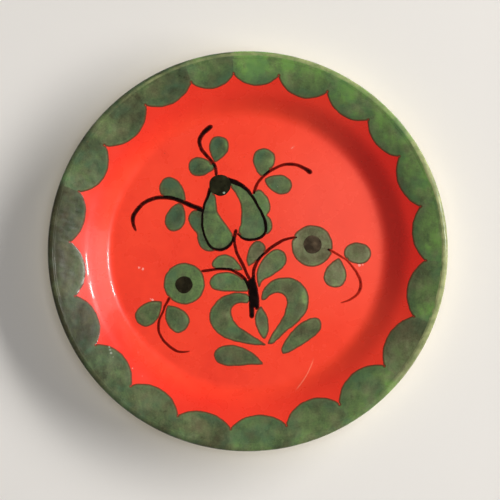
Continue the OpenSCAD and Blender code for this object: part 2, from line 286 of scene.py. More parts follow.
# Stands for the distance from an edge where there is none
FAR = 9.0


def distance(points, a, b):
    """Distance of each point from the nearest of the segments a to b."""
    if not len(a):
        return np.full(len(points), FAR)
    ab = b - a
    ap = points[:, None] - a
    t = np.clip(np.sum(ap * ab, axis=2) / np.sum(ab * ab, axis=1), 0, 1)
    return np.sqrt(np.min(np.sum((ap - t[..., None] * ab) ** 2, axis=2), axis=1))


def outward(loop):
    """Unit normals that point out of the painted side of an outline."""
    along = np.roll(loop, -1, axis=0) - np.roll(loop, 1, axis=0)
    along = along / np.linalg.norm(along, axis=1)[:, None]
    return np.column_stack([along[:, 1], -along[:, 0]])


# Distance of the points along a painted outline, and of the vertices inside it
STEP = 0.6
GRID = 1.1


def hand_drawn(loop):
    """The outline as a brush leaves it, warped a little by one field that all share."""
    loop = rounded(evenly(loop, STEP))
    return loop + np.column_stack([warp_x(*loop.T), warp_y(*loop.T)])


def box_of(loops):
    """The lowest and the highest corner of some outlines."""
    points = np.vstack(loops)
    return points.min(axis=0), points.max(axis=0)


slot_of = {row["node"]: row.get("material_slot") for row in frame["record"]["subparts"]}
paint_nodes = [n for n in sorted(frame["nodes"]) if slot_of[n].endswith("_enamel")]
drawn = {n: [hand_drawn(loop) for loop in outlines(n)] for n in paint_nodes}
extent = {n: box_of(drawn[n]) for n in drawn}


def covered(node, points):
    """True for each point that lies within some other painted node."""
    found = np.zeros(len(points), bool)
    for other, loops in drawn.items():
        low, high = extent[other]
        if other == node or np.any(points.max(0) < low) or np.any(points.min(0) > high):
            continue
        found |= inside(points, loops)
    return found


def triangulate(loops, points):
    """Triangles that fill the outlines and use the inner points, as vertices and faces."""
    verts = [Vector(p) for loop in loops for p in loop] + [Vector(p) for p in points]
    edges, first = [], 0
    for loop in loops:
        n = len(loop)
        edges += [(first + i, first + (i + 1) % n) for i in range(n)]
        first += n
    places, _, triangles, *_ = delaunay_2d_cdt(verts, edges, [], 0, 1e-5)
    places = np.array([tuple(p) for p in places])
    triangles = np.array(triangles)
    kept = triangles[inside(places[triangles].mean(axis=1), loops)]
    a, b, c = places[kept[:, 0]], places[kept[:, 1]], places[kept[:, 2]]
    turns = (b[:, 0] - a[:, 0]) * (c[:, 1] - a[:, 1]) - (b[:, 1] - a[:, 1]) * (c[:, 0] - a[:, 0])
    kept[turns < 0] = kept[turns < 0][:, ::-1]
    used, kept = np.unique(kept, return_inverse=True)
    return places[used], kept.reshape(-1, 3)


# An outline that comes this near to the lip is carried on under it, this far
LIP_NEAR, LIP_TUCK = 1.2, 0.1
# How far outside its outline a patch is probed for another one that touches it
PROBE = 0.25
# Where two rows of vertices follow the outline inside it, and how much room those two rows and
# the grid of the rest keep from the edge
ROWS = (0.22, 0.55)
ROOM = (0.2, 0.5, 0.95)
# Over what width the paint thins down under the lip, to what share of its height, and to what
# height at least
THINS_OVER, THINNEST_SHARE, THINNEST = 3.5, 0.12, 0.035
# How far a free edge dips under the glaze, and how far the whole patch reaches down into it
DIP, ROOT = 0.02, 0.15


def enamel(node, slot, height, edge_width, bleed, tuck, tone, brown=0.0):
    """A raised patch of enamel: full height inside, down to the glaze at its free edges.

    A free edge bleeds outward a little. Where another patch or the lip meets it the height
    stays, and tuck slides such an edge under the other."""
    loops, free_a, free_b, near = [], [], [], []
    for loop in drawn[node]:
        normal = outward(loop)
        far = np.hypot(*loop.T)
        at_lip = far > face_end[0] - LIP_NEAR
        loop = np.where(at_lip[:, None], loop * ((face_end[0] + LIP_TUCK) / far)[:, None], loop)
        touching = covered(node, loop + PROBE * normal) | at_lip
        loop = loop + bleed * normal * ~touching[:, None]
        after = np.roll(loop, -1, axis=0)
        free = ~(touching & np.roll(touching, -1))
        free_a.append(loop[free])
        free_b.append(after[free])
        near += [loop - offset * normal for offset in ROWS]
        loops.append(loop + tuck * normal * touching[:, None])
    low, high = extent[node]
    xs = np.arange(low[0] - bleed, high[0] + bleed, GRID)
    ys = np.arange(low[1] - bleed, high[1] + bleed, GRID * math.sqrt(3) / 2)
    gx, gy = np.meshgrid(xs, ys)
    gx = gx + (np.arange(len(ys)) % 2)[:, None] * GRID / 2
    edge_a = np.vstack(loops)
    edge_b = np.vstack([np.roll(loop, -1, axis=0) for loop in loops])
    grid = np.column_stack([gx.ravel(), gy.ravel()])
    inner = []
    for room, rows in zip(ROOM, (near[0::2], near[1::2], [grid])):
        points = np.vstack(rows)
        points = points[inside(points, loops)]
        inner.append(points[distance(points, edge_a, edge_b) > room])
    places, triangles = triangulate(loops, np.vstack(inner))
    edge = distance(places, np.vstack(free_a), np.vstack(free_b))
    x, y = places.T
    rise = 1 - np.exp(-edge / edge_width)
    share = np.clip((face_end[0] - np.hypot(x, y)) / THINS_OVER, THINNEST_SHARE, 1)
    lift = (height + brush_depth(x, y)) * (rise * share) - DIP
    lift = np.where(share < 1, np.maximum(lift, THINNEST * rise), lift)
    top = surface(x, y) + lift
    base = surface(x, y) - ROOT
    n = len(places)
    verts = np.vstack([np.column_stack([x, y, top]), np.column_stack([x, y, base])])
    sides = {(a, b) for t in triangles for a, b in zip(t, np.roll(t, -1))}
    rim = [(a, b) for a, b in sides if (b, a) not in sides]
    faces = [tuple(t) for t in triangles]
    faces += [tuple(t[::-1] + n) for t in triangles]
    faces += [(a, a + n, b + n, b) for a, b in sorted(rim)]
    return piece(node + "_enamel", verts, faces, slot, node, rim,
                 edge=np.tile(edge, 2), tone=np.tile(tone(x, y), 2), brown=np.full(2 * n, brown))


# --- Materials ---------------------------------------------------------------

# Painted glints, pale marks where light catches pits in the red glaze, bumps in the green paint and the
# dark paint: x and y, and how far each reaches
PIT_GLINTS = [(28.9, 65.7, 0.4), (28.1, 65.0, 0.5), (27.3, 64.3, 0.4),
          (-68.0, -10.2, 0.8), (-65.6, -11.0, 0.9), (-59.6, -30.4, 0.9), (-61.0, -29.9, 0.4),
          (69.9, -8.8, 1.0), (72.0, -8.4, 0.6), (-72.1, -73.2, 0.5), (-66.0, -78.0, 0.4)]
GREEN_GLINTS = [(-86.6, -59.8, 0.5), (-86.0, -61.6, 0.5), (-85.4, -63.5, 0.5), (-84.1, -66.0, 0.4),
          (18.7, 40.5, 0.0)]
DARK_GLINTS = [(-14.9, 36.7, 0.5)]
# Middle of the well's right side, painted paler as light falloff and a soft reflection, and of the painted
# shade in the right cove
LIT_SIDE_MIDDLE = (66, 24)
COVE_SHADE_MIDDLE = (98, 28)
# The hairline crack in the red glaze: its middle, and the middle and radius of its arc
HAIRLINE_MIDDLE = (36.6, -77.4)
HAIRLINE_ARC = (-8.0, -52.0, 51.5)
# Voronoi cells to a metre: pinholes of the face, and specks of the underside
PINHOLES = 42.0
SPECKS = 150.0
# How much of the green's tone comes from clouds, brush streaks and grain
CLOUDS, STREAKS, GRAIN = 0.95, 0.5, 0.5
# Colours of the green paint's edge, from the inside out: where each starts and where it is
# strongest in mm from the edge, its strength there, and the colour
EDGE_COLOURS = [(1.5, 0.9, 0.7, (96, 78, 50)),
                (1.0, 0.55, 0.9, (98, 54, 34)),
                (0.5, 0.05, 0.9, (160, 48, 32))]


def srgb(red, green, blue):
    """A colour written as 0 to 255, as the shader's linear numbers."""
    return tuple(((c / 255 + 0.055) / 1.055) ** 2.4 for c in (red, green, blue)) + (1.0,)


class Finish:
    """A material on a Principled shader, and short ways to add nodes to it."""

    def __init__(self, name, roughness, coat=0.0, coat_roughness=None, specular=0.5):
        self.material = bpy.data.materials.new(name)
        self.material.use_nodes = True
        self.tree = self.material.node_tree
        self.shader = self.tree.nodes["Principled BSDF"]
        self.shader.inputs["Roughness"].default_value = roughness
        self.shader.inputs["Coat Weight"].default_value = coat
        if coat_roughness is not None:
            self.shader.inputs["Coat Roughness"].default_value = coat_roughness
        self.shader.inputs["Specular IOR Level"].default_value = specular
        self.place = self.tree.nodes.new("ShaderNodeTexCoord").outputs["Object"]

    def add(self, kind, inputs, output=0, **settings):
        """A new node with its inputs set or linked, as one of its outputs."""
        node = self.tree.nodes.new("ShaderNode" + kind)
        for key, value in settings.items():
            setattr(node, key, value)
        for key, value in inputs.items():
            if isinstance(value, bpy.types.NodeSocket):
                self.tree.links.new(value, node.inputs[key])
            else:
                node.inputs[key].default_value = value
        return node.outputs[output]

    def math(self, operation, a, b=0.0, clamp=False):
        return self.add("Math", {0: a, 1: b}, operation=operation, use_clamp=clamp)

    def noise(self, size, detail=3.0, distortion=0.0, place=None):
        """Noise from 0 to 1 whose features are about size mm across."""
        inputs = {"Vector": place or self.place, "Scale": 1 / (size * MM), "Detail": detail,
                  "Distortion": distortion}
        return self.add("TexNoise", inputs)

    def step(self, value, low, high, to_low=0.0, to_high=1.0):
        """Goes smoothly from to_low at low to to_high at high."""
        inputs = {"Value": value, "From Min": low, "From Max": high, "To Min": to_low, "To Max": to_high}
        return self.add("MapRange", inputs, interpolation_type="SMOOTHSTEP")

    def part(self, value, share):
        """That share of a value."""
        return self.math("MULTIPLY", value, share)

    def mix(self, factor, a, b):
        return self.add("Mix", {0: factor, 6: a, 7: b}, output=2, data_type="RGBA")

    def ramp(self, value, *stops):
        """The colour at a value, between stops of a place and a colour."""
        socket = self.add("ValToRGB", {0: value})
        elements = socket.node.color_ramp.elements
        while len(elements) < len(stops):
            elements.new(0.5)
        for element, (at, colour) in zip(elements, stops):
            element.position = at
            element.color = colour
        return socket

    def attribute(self, name):
        """A number that the mesh carries at each vertex."""
        return self.add("Attribute", {}, output=2, attribute_name=name)

    def bump(self, height, depth, normal=None):
        """Bump of that depth in mm for a height from 0 to 1."""
        inputs = {"Height": height, "Distance": depth * MM, "Strength": 1.0}
        if normal:
            inputs["Normal"] = normal
        return self.add("Bump", inputs)

    def away(self, x, y):
        """Distance from the upright line through x, y in mm, in metres."""
        flat = self.add("VectorMath", {0: self.place, 1: (1, 1, 0)}, operation="MULTIPLY")
        return self.add("VectorMath", {0: flat, 1: (x * MM, y * MM, 0)}, output=1, operation="DISTANCE")

    def radius(self):
        """Distance from the plate's axis, in metres."""
        return self.away(0, 0)

    def finish(self, colour, roughness=None, normal=None):
        """The material, with its colour, roughness and normal linked to the shader."""
        for key, socket in (("Base Color", colour), ("Roughness", roughness), ("Normal", normal)):
            if socket is not None:
                self.tree.links.new(socket, self.shader.inputs[key])
        return self.material


def red_glaze():
    """Bright selenium red, glossy, with soft clouds, a painted lit side, painted shade on the wall and in
    the right cove, pits painted as glints, and a hairline.
    """
    f = Finish("red_glaze", 0.3, coat=0.3, coat_roughness=0.035)
    clouds = f.noise(60, 2)
    mottle = f.noise(7, 4)
    depth = f.math("ADD", f.part(clouds, 0.7), f.part(mottle, 0.3))
    colour = f.ramp(depth, (0.3, srgb(237, 54, 32)), (0.5, srgb(249, 65, 39)), (0.7, srgb(255, 73, 45)))
    # Painted light: the well's right side is paler, as if lit more and hazed by a reflection
    painted_lit_side = f.step(f.away(*LIT_SIDE_MIDDLE), 85 * MM, 15 * MM)
    colour = f.mix(f.part(painted_lit_side, 0.55), colour, srgb(255, 96, 78))
    # Painted shade: the red is deeper on the sloping wall and rim all round
    outer = f.step(f.radius(), 86 * MM, 100 * MM)
    colour = f.mix(f.part(outer, 0.45), colour, srgb(228, 40, 30))
    # Painted shade: darker red in the right cove, which faces away from the light
    in_cove = f.step(f.radius(), 81 * MM, 89 * MM)
    painted_cove_shade = f.math("MULTIPLY", f.step(f.away(*COVE_SHADE_MIDDLE), 85 * MM, 30 * MM), in_cove)
    colour = f.mix(f.part(painted_cove_shade, 0.7), colour, srgb(232, 26, 18))
    cells = f.add("TexVoronoi", {"Vector": f.place, "Scale": PINHOLES}, voronoi_dimensions="2D")
    chance = f.add("SeparateColor", {0: cells.node.outputs["Color"]})
    pin = f.math("MULTIPLY", f.step(cells, 0.014, 0.006), f.step(chance, 0.7, 0.72))
    colour = f.mix(f.part(pin, 0.45), colour, srgb(120, 22, 14))
    ragged = f.part(f.noise(0.7, 2), 0.9 * MM)
    # Pits in the glaze painted pale: painted glints
    for x, y, reach in PIT_GLINTS:
        near = f.step(f.math("ADD", f.away(x, y), ragged), (reach + 0.5) * MM, (reach + 0.1) * MM)
        colour = f.mix(f.part(near, 0.6), colour, srgb(255, 190, 178))
    arc_x, arc_y, arc_r = HAIRLINE_ARC
    off_arc = f.math("ABSOLUTE", f.math("SUBTRACT", f.away(arc_x, arc_y), arc_r * MM))
    along = f.step(f.away(*HAIRLINE_MIDDLE), 12.5 * MM, 8 * MM)
    hair = f.math("MULTIPLY", f.step(off_arc, 0.42 * MM, 0.16 * MM), along)
    colour = f.mix(f.part(hair, 0.55), colour, srgb(255, 150, 120))
    roughness = f.step(f.noise(14, 4), 0.2, 0.8, 0.22, 0.34)
    ripple = f.bump(f.noise(5, 2), 0.008)
    holes = f.bump(f.math("SUBTRACT", 1.0, pin), 0.1, ripple)
    return f.finish(colour, roughness, holes)


def brushed_green(f):
    """Copper green as a brush leaves it: clouds and streaks of tone, cool cores, brown patches.

    Gives the colour, and the clouds, streaks and grain behind it."""
    turned = f.add("Mapping", {"Vector": f.place, "Rotation": (0, 0, 0.6), "Scale": (1.0, 0.45, 1.0)})
    streaks = f.noise(3.4, 4, 0.6, turned)
    clouds = f.noise(9, 4, 0.3)
    grain = f.noise(1.1, 3)
    mixed = f.math("ADD", f.part(clouds, CLOUDS), f.part(streaks, STREAKS))
    mixed = f.math("ADD", mixed, f.part(grain, GRAIN))
    mean = (CLOUDS + STREAKS + GRAIN) / 2
    value = f.math("ADD", f.attribute("tone"), f.math("SUBTRACT", mixed, mean))
    # A lighter ring just inside the edge: a painted highlight of the paint's raised edge
    edge = f.attribute("edge")
    ring = f.math("MULTIPLY", f.step(edge, 1.0, 1.6), f.step(edge, 2.4, 1.6))
    value = f.math("ADD", value, f.part(ring, 0.14))
    colour = f.ramp(value, (0.0, srgb(50, 58, 40)), (0.25, srgb(68, 84, 56)), (0.5, srgb(86, 108, 67)),
                    (0.75, srgb(103, 130, 76)), (1.0, srgb(116, 158, 80)))
    cool = f.step(f.noise(12, 2), 0.46, 0.66)
    colour = f.mix(f.part(cool, 0.4), colour, srgb(68, 104, 80))
    # The border's paint settled, darker and cooler, along its inner edge
    on_border = f.step(f.radius(), 98 * MM, 100 * MM)
    settled = f.math("MULTIPLY", f.step(edge, 7.0, 1.5), on_border)
    colour = f.mix(f.part(settled, 0.45), colour, srgb(66, 94, 66))
    dull = f.ramp(value, (0.0, srgb(64, 60, 42)), (0.25, srgb(82, 80, 56)), (0.5, srgb(100, 98, 71)),
                  (0.75, srgb(118, 119, 89)), (1.0, srgb(135, 142, 103)))
    moved = f.add("Mapping", {"Vector": f.place, "Location": (0.3, 0.1, 0)})
    patches = f.part(f.math("SUBTRACT", f.noise(8, 2, 0.0, moved), 0.5), 1.8)
    share = f.math("ADD", f.attribute("brown"), patches, clamp=True)
    return f.mix(share, colour, dull), clouds, streaks, grain


def green_enamel():
    """The green paint: brown where it pools at its edge, and reddish where it bleeds out thin."""
    f = Finish("green_enamel", 0.3, coat=0.12, coat_roughness=0.06, specular=0.3)
    colour, clouds, streaks, grain = brushed_green(f)
    ragged = f.part(f.math("SUBTRACT", grain, 0.5), 0.5)
    edge = f.math("ADD", f.attribute("edge"), ragged)
    for start, strongest, share, edge_colour in EDGE_COLOURS:
        colour = f.mix(f.step(edge, start, strongest, 0.0, share), colour, srgb(*edge_colour))
    # Painted glints: pale marks on the green paint where it catches the light
    for x, y, reach in GREEN_GLINTS:
        bent = f.math("ADD", f.away(x, y), f.part(f.noise(1.8, 2), 1.2 * MM))
        green_glint = f.step(bent, (reach + 1.0) * MM, (reach + 0.3) * MM)
        colour = f.mix(f.part(green_glint, 0.5), colour, srgb(176, 184, 168))
    roughness = f.step(clouds, 0.3, 0.7, 0.24, 0.38)
    normal = f.bump(streaks, 0.04, f.bump(grain, 0.008))
    return f.finish(colour, roughness, normal)


def black_enamel(name, deep, thin):
    """Dark paint: deep where it lies thick, thin towards its free edges, and there the glaze's red.

    deep and thin are colours of 0 to 255. The mesh's tone says by how many mm more of its edge
    a stroke is thin."""
    f = Finish(name, 0.3, coat=0.04, coat_roughness=0.08, specular=0.1)
    body = f.noise(4, 3)
    grain = f.noise(0.8, 2)
    darker = [c * 0.75 for c in deep]
    paler = [c * 1.35 + 3 for c in deep]
    colour = f.ramp(body, (0.35, srgb(*darker)), (0.55, srgb(*deep)), (0.75, srgb(*paler)))
    depth = f.math("ADD", f.attribute("edge"), f.part(f.math("SUBTRACT", grain, 0.5), 0.4))
    depth = f.math("SUBTRACT", depth, f.attribute("tone"))
    colour = f.mix(f.step(depth, 0.7, 0.0, 0.0, 0.9), colour, srgb(*thin))
    colour = f.mix(f.step(depth, 0.0, -0.5, 0.0, 0.9), colour, srgb(200, 48, 30))
    # Painted glint on the tulip's dark cap
    for x, y, reach in DARK_GLINTS:
        bent = f.math("ADD", f.away(x, y), f.part(f.noise(1.2, 2), 1.4 * MM))
        dark_glint = f.step(bent, (reach + 1.2) * MM, (reach + 0.5) * MM)
        colour = f.mix(f.part(dark_glint, 0.8), colour, srgb(172, 188, 170))
    roughness = f.step(body, 0.3, 0.7, 0.22, 0.38)
    return f.finish(colour, roughness, f.bump(f.noise(2.2, 3), 0.03))


def lip_glaze():
    """The lip: the border's green where it ran over the edge, pale where the glaze is thin, and painted
    pale as light on the side that faces the light.
    """
    f = Finish("lip_glaze", 0.25, coat=0.2, coat_roughness=0.06, specular=0.3)
    green, *_ = brushed_green(f)
    run = f.noise(5, 3, 0.4)
    pale = f.ramp(run, (0.35, srgb(122, 132, 88)), (0.65, srgb(158, 164, 114)))
    patches = f.part(f.math("SUBTRACT", run, 0.5), 0.9)
    # The pale share: thin glaze, and painted light on the side that faces the light
    laid = f.attribute("pale")
    share = f.math("MULTIPLY", laid, f.math("ADD", f.math("ADD", laid, patches), 0.2, clamp=True))
    colour = f.mix(share, green, pale)
    fleck = f.step(f.noise(1.6, 3), 0.62, 0.74)
    colour = f.mix(f.part(fleck, 0.35), colour, srgb(112, 96, 66))
    roughness = f.step(f.noise(9, 3), 0.3, 0.7, 0.18, 0.3)
    return f.finish(colour, roughness, f.bump(f.noise(3, 3), 0.03))


def back_glaze():
    """Cream glaze of the underside, with specks and pinholes."""
    f = Finish("back_glaze", 0.2)
    clouds = f.noise(34, 4)
    colour = f.ramp(clouds, (0.3, srgb(196, 182, 146)), (0.55, srgb(214, 204, 172)),
                    (0.75, srgb(222, 216, 190)))
    cells = f.add("TexVoronoi", {"Vector": f.place, "Scale": SPECKS})
    chance = f.add("SeparateColor", {0: cells.node.outputs["Color"]})
    speck = f.math("MULTIPLY", f.step(cells, 0.13, 0.06), f.step(chance, 0.55, 0.6))
    colour = f.mix(f.part(speck, 0.75), colour, srgb(112, 78, 48))
    thin = f.step(f.radius(), (plate_r - 9) * MM, (plate_r - 1) * MM)
    colour = f.mix(f.part(thin, 0.4), colour, srgb(170, 164, 118))
    roughness = f.step(f.noise(16, 3), 0.3, 0.7, 0.13, 0.3)
    normal = f.bump(f.math("SUBTRACT", 1.0, speck), 0.05, f.bump(f.noise(4, 3), 0.05))
    return f.finish(colour, roughness, normal)


def bare_clay():
    """Fired buff clay with grog and turning marks."""
    f = Finish("clay", 0.82)
    body = f.noise(10, 5)
    colour = f.ramp(body, (0.3, srgb(172, 122, 84)), (0.55, srgb(196, 148, 106)),
                    (0.75, srgb(212, 170, 128)))
    grog = f.step(f.noise(0.9, 3), 0.6, 0.72)
    colour = f.mix(f.part(grog, 0.5), colour, srgb(128, 84, 56))
    stain = f.step(f.noise(24, 2), 0.5, 0.7)
    colour = f.mix(f.part(stain, 0.3), colour, srgb(120, 98, 76))
    turning_mark = 0.7 * MM
    rings = f.math("SINE", f.part(f.radius(), 2 * math.pi / turning_mark))
    ring_height = f.math("ADD", f.part(rings, 0.25), f.noise(1.5, 4))
    return f.finish(colour, None, f.bump(ring_height, 0.09))


# --- Coats and clay ----------------------------------------------------------

# Faces around a coat; the lip has twice as many
SEGMENTS = 360
# The lip's glaze laps over the border: how wide and how high. The step at its start takes one
# part in LAP_STEEPNESS of that width, the lap sinks by the share LAP_SINKS up to the lip, and
# there it ends over LAP_TAIL rows of vertices. LAP_WOBBLE is how much its height varies, and
# its top and its root start this far under the face.
LAP_WIDTH = 1.6
LAP_HEIGHT = 0.12
LAP_STEEPNESS = 6
LAP_SINKS = 0.35
LAP_TAIL = 6
LAP_WOBBLE = 0.15
LAP_START, LAP_ROOT = 0.03, 0.3
# How uneven the lip is by itself, against the drift of its glaze
LIP_WOBBLE = 0.04
# How square the lip's half round is: the power of its corners, and the share they have
LIP_POWER, LIP_SQUARE = 0.6, 0.8
# The pale part of the lip, partly its thin glaze and partly painted light on the side that faces the
# light: degrees anticlockwise from +X, how strong it is, and the radii in mm between which it lies
LIP_PALE_AND_LIT = [(0, 1.0, 121.2, 127), (24, 1.0, 121.4, 127), (36, 0.6, 122.4, 127),
            (48, 0.45, 122.4, 126), (60, 0.7, 122.4, 126), (84, 0.8, 122.4, 124.4),
            (96, 0.7, 122.2, 124.2), (108, 0.5, 122.0, 123.8), (120, 0.6, 121.6, 123.4),
            (132, 0.3, 121.4, 123.0), (144, 0.0, 121.4, 123.0), (300, 0.0, 121.0, 124.0),
            (312, 0.3, 121.0, 125), (324, 0.6, 121.0, 126), (336, 0.85, 121.0, 127),
            (348, 1.0, 121.0, 127), (360, 1.0, 121.2, 127)]
# Width of the soft edge of that pale part
PALE_BLUR = 0.5


def lip_arc(radius, start, end, steps):
    """Points of the lip, from the face over the edge to the back: a half round, a little squared."""
    along = np.linspace(0, 1, steps)[:, None]
    angles = start + (end - start) * along
    half_round = np.hstack([np.cos(angles), np.sin(angles)])
    squared = np.sign(half_round) * np.abs(half_round) ** LIP_POWER
    share = np.clip(4 * np.minimum(along, 1 - along), 0, 1) * LIP_SQUARE
    return lip_centre + radius * (half_round * (1 - share) + squared * share)


def pale_and_lit_share(x, y, under):
    """How pale the lip is at a place, from 0 to 1: thin glaze, and painted light where it faces the light.
    under is true on its lower half.
    """
    azimuth = np.degrees(np.arctan2(y, x)) % 360
    at, *columns = zip(*LIP_PALE_AND_LIT)
    strength, start, end = (np.interp(azimuth, at, column) for column in columns)
    r = np.where(under, plate_r + 1, np.hypot(x, y))
    past_start = np.clip((r - start) / PALE_BLUR + 0.5, 0, 1)
    before_end = np.clip((end - r) / PALE_BLUR + 0.5, 0, 1)
    return strength * past_start * before_end


def radii(start, end, step):
    """Radii from start to end, about step apart."""
    return np.linspace(start, end, max(2, round((end - start) / step) + 1))


def face_coat(material):
    """The red glaze, from the centre to the start of the lip."""
    flat = radii(0, well_r - 2, 1.6)
    curved = radii(well_r - 2, face_end[0], 0.6)[1:]
    line = np.concatenate([flat, curved])
    top = np.column_stack([line, face_height(line)])
    under = np.column_stack([line, face_height(line) - COAT])[::-1]
    section = np.vstack([top, under])
    verts, faces = revolve(section[::-1], SEGMENTS, lambda x, y, row: unevenness(x, y) - SINK)
    piece("face_glaze_coat", verts, faces, "red_glaze", "face_glaze").data.materials.append(material)


def lip_coat(material):
    """Glaze over the edge, which laps over the border's outer end."""
    slope = math.atan2(*(face_end - lip_centre)[::-1])
    back = math.atan2(*(back_end - lip_centre)[::-1])
    lap = radii(face_end[0] - LAP_WIDTH, face_end[0], 0.2)
    start = np.column_stack([lap, face_height(lap) - LAP_START])
    outer = lip_arc(lip_r, slope, back, steps=30)
    inner = lip_arc(lip_r - COAT, back, slope, steps=20)
    tail = np.column_stack([lap[::-1], face_height(lap[::-1]) - LAP_ROOT])
    section = np.vstack([start[:-1], outer, inner, tail[1:]])[::-1]
    along = (lap[:-1] - lap[0]) / LAP_WIDTH
    rise = np.clip(along * LAP_STEEPNESS, 0, 1) * (1 - LAP_SINKS * along)
    fall = (1 - LAP_SINKS) * np.clip(1 - np.arange(len(outer)) / LAP_TAIL, 0, 1)
    over = np.concatenate([rise, fall, np.zeros(len(inner) + len(tail) - 1)])[::-1]

    def shift(x, y, row):
        drift = 1 - LAP_WOBBLE + LAP_WOBBLE * np.clip(lip_drift(x, y) / LIP_DRIFT, -1, 1)
        lapped = LAP_HEIGHT * over[row] * drift
        return unevenness(x, y) + LIP_WOBBLE * lip_drift(x * 3, y * 3) - SINK + lapped

    verts, faces = revolve(section, SEGMENTS * 2, shift)
    x, y, z = verts.T
    # Pale where the glaze is thin, and painted light on the side that faces the light
    pale = pale_and_lit_share(x, y, z < lip_centre[1])
    tone, brown = border_paint(x, y)
    made = piece("lip_glaze_coat", verts, faces, "pale_glaze", "lip_glaze",
                 pale=pale, tone=tone, brown=brown, edge=np.full(len(x), FAR))
    made.data.materials.append(material)


def throwing_marks(x, y, depth, pitch, sense):
    """Height of the spiral that the thrower's fingers leave. sense is 1 or -1, its direction."""
    return depth * np.sin(2 * math.pi * np.hypot(x, y) / pitch + sense * np.arctan2(y, x))


def back_coat(material):
    """Glaze of the underside, which ends in a rolled edge just outside the foot ring."""
    clear_of_foot = 1.4
    near = radii(foot_r + clear_of_foot, well_r, 0.5)
    line = np.concatenate([near, radii(well_r, back_end[0], 0.7)[1:]])
    under = np.column_stack([line, back_height(line)])
    rolled = under[0] + np.array([[-0.45, 0.3], [-0.4, 0.1], [-0.2, -0.03]])
    above = np.column_stack([line, back_height(line) + COAT])[::-1]
    section = np.vstack([rolled, under, above])

    def shift(x, y, row):
        marks = throwing_marks(x, y, depth=0.05, pitch=6.5, sense=1)
        thrown = back_unevenness(x, y) * 0.6 + marks
        return np.where(np.hypot(x, y) < back_end[0] - 2, thrown, unevenness(x, y) - SINK)

    verts, faces = revolve(section, SEGMENTS, shift)
    piece("back_glaze_coat", verts, faces, "back_glaze", "back_glaze").data.materials.append(material)


def base_coat(material):
    """The glazed floor inside the foot ring."""
    ring_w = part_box("foot_ring")[1].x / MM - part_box("base_glaze")[1].x / MM
    clear_of_foot = 0.8
    inner_r = foot_r - ring_w - clear_of_foot
    line = radii(0, inner_r, 1.5)
    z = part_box("base_glaze")[0].z / MM
    under = np.column_stack([line, np.full(len(line), z)])
    rolled = np.array([[inner_r + 0.3, z + 0.1], [inner_r + 0.35, z + 0.35]])
    above = np.column_stack([line, np.full(len(line), z + COAT)])[::-1]
    section = np.vstack([under, rolled, above])

    def shift(x, y, row):
        marks = throwing_marks(x, y, depth=0.06, pitch=7.5, sense=-1)
        return back_unevenness(x, y) * 0.5 + marks * np.clip(np.hypot(x, y) / 10, 0, 1)

    verts, faces = revolve(section, SEGMENTS, shift)
    piece("base_glaze_coat", verts, faces, "back_glaze", "base_glaze").data.materials.append(material)


def foot(material):
    """The turned foot ring, with its corners worn round."""
    outer = foot_box[1].x / MM
    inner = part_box("base_glaze")[1].x / MM
    draft, bend, flare = 0.8, 1.2, 0.3
    corner = np.linspace(0, math.pi / 2, 6)
    left = np.column_stack([inner + draft + bend - bend * np.cos(corner), bend - bend * np.sin(corner)])
    right = np.column_stack([outer - draft - bend + bend * np.sin(corner), bend - bend * np.cos(corner)])
    flat = radii(inner + draft + bend, outer - draft - bend, 0.5)[1:-1]
    middle = np.column_stack([flat, np.zeros(len(flat))])
    section = np.vstack([[[inner - flare, foot_top]], left, middle, right,
                         [[outer + flare, foot_top]]])

    def shift(x, y, row):
        lift = 0.05 + back_unevenness(x * 4, y * 4)
        return np.clip(lift, 0, 0.2) if 0 < row < len(section) - 1 else np.zeros(len(x))

    verts, faces = revolve(section, SEGMENTS, shift)
    piece("foot_ring_turned", verts, faces, "clay", "foot_ring").data.materials.append(material)


# --- Painted pieces ----------------------------------------------------------

# The border dabs, anticlockwise from +X: tone at the anticlockwise end and at the clockwise end,
# from 0 (dark) to 1 (yellow green), how much lighter the outer side is than the inner, and how
# brown. Where the third is negative, on the left-hand dabs, the lighter inner side is painted sheen.
DAB_PAINT = [
    (0.78, 0.70, 0.35, 0.10),
    (0.77, 0.69, 0.30, 0.10),
    (0.85, 0.71, 0.32, 0.08),
    (0.85, 0.57, 0.34, 0.10),
    (0.98, 0.76, 0.20, 0.00),
    (0.60, 0.24, 0.22, 0.10),
    (0.46, 0.14, 0.12, 0.40),
    (0.53, 0.17, 0.10, 0.45),
    (0.58, 0.22, 0.00, 0.35),
    (0.10, 0.08, -0.15, 0.65),
    (0.26, 0.22, -0.40, 0.70),
    (0.06, 0.06, -0.15, 0.65),
    (0.38, 0.24, -0.12, 0.35),
    (0.34, 0.48, -0.10, 0.35),
    (0.29, 0.47, 0.00, 0.45),
    (0.45, 0.55, 0.00, 0.20),
    (0.48, 0.58, 0.12, 0.30),
    (0.66, 0.58, 0.28, 0.15),
    (0.40, 0.68, 0.28, 0.60),
    (0.50, 0.76, 0.32, 0.30),
    (0.73, 0.77, 0.30, 0.10),
]
# The spray's green patches: tone and how brown
SPRAY_PAINT = {"tulip_petal_left": (0.48, 0.0), "tulip_petal_right": (0.47, 0.1),
               "tulip_back_petal_left": (0.28, 0.15), "tulip_back_petal_right": (0.61, 0.15),
               "leaves_top": (0.31, 0.0), "leaves_left": (0.27, 0.1), "leaves_right": (0.46, 0.25),
               "leaves_low_left": (0.42, 0.15), "leaves_low_right": (0.60, 0.9),
               "flower_left_disc": (0.52, 0.0), "flower_right_disc": (0.58, 0.9),
               "stem_leaf_upper_left": (0.53, 0.35), "stem_leaf_lower_left": (0.54, 0.15),
               "stem_leaf_upper_right": (0.47, 0.8), "stem_leaf_lower_right": (0.56, 0.45),
               "heart_scroll_left": (0.41, 0.3), "heart_scroll_right": (0.47, 0.4),
               "heart_seed_leaf": (0.5, 0.5),
               "base_leaf_left": (0.37, 0.5), "base_leaf_right": (0.42, 0.4)}
